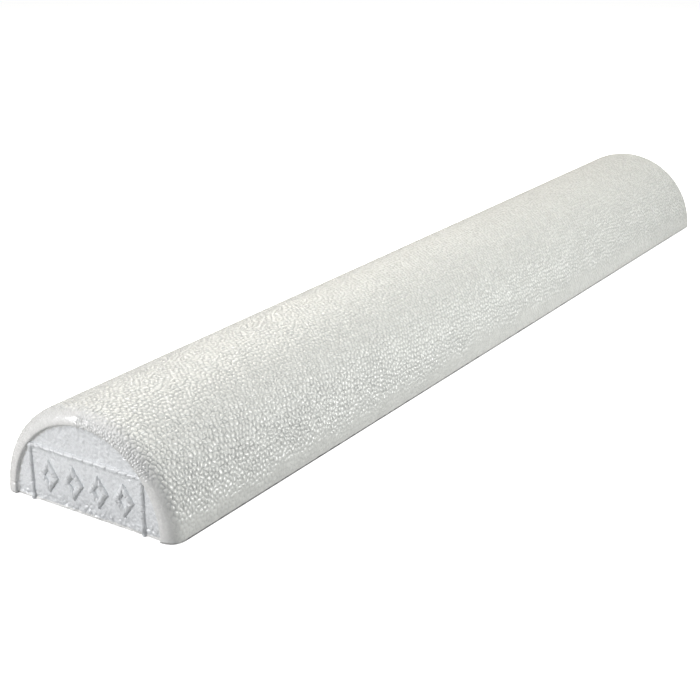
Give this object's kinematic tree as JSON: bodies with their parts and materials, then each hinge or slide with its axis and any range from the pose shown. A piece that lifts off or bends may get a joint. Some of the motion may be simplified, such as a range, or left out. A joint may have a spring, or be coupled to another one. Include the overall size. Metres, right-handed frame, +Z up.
{
  "type": "foam roller",
  "caption": "Half-round bead-foam roller with rounded end edges, recessed arched ends and a flat base, for massage and balance work.",
  "frame": {"origin": "middle of the flat base, on the surface the roller rests on", "axes": "+Y along the roller's length with the front end at -Y, +X across the flat base, +Z up out of the flat base through the crown"},
  "size_m": [0.1524, 0.9144, 0.0762],
  "materials": {
    "skin_foam": "satin white fused-bead foam with faint seams between the beads",
    "end_foam": "smoother, slightly cooler white foam pressed flat by the mould's end plate",
    "core_foam": "open-packed white bead foam, not seen from outside"
  },
  "bodies": {
    "root": {"bead_core": "core_foam", "rolling_skin": "skin_foam", "base_skin": "skin_foam", "front_end_panel": "end_foam", "rear_end_panel": "end_foam", "front_frame_ridge": "end_foam", "rear_frame_ridge": "end_foam", "front_badge": "end_foam", "rear_badge": "end_foam"}
  },
  "joints": []
}
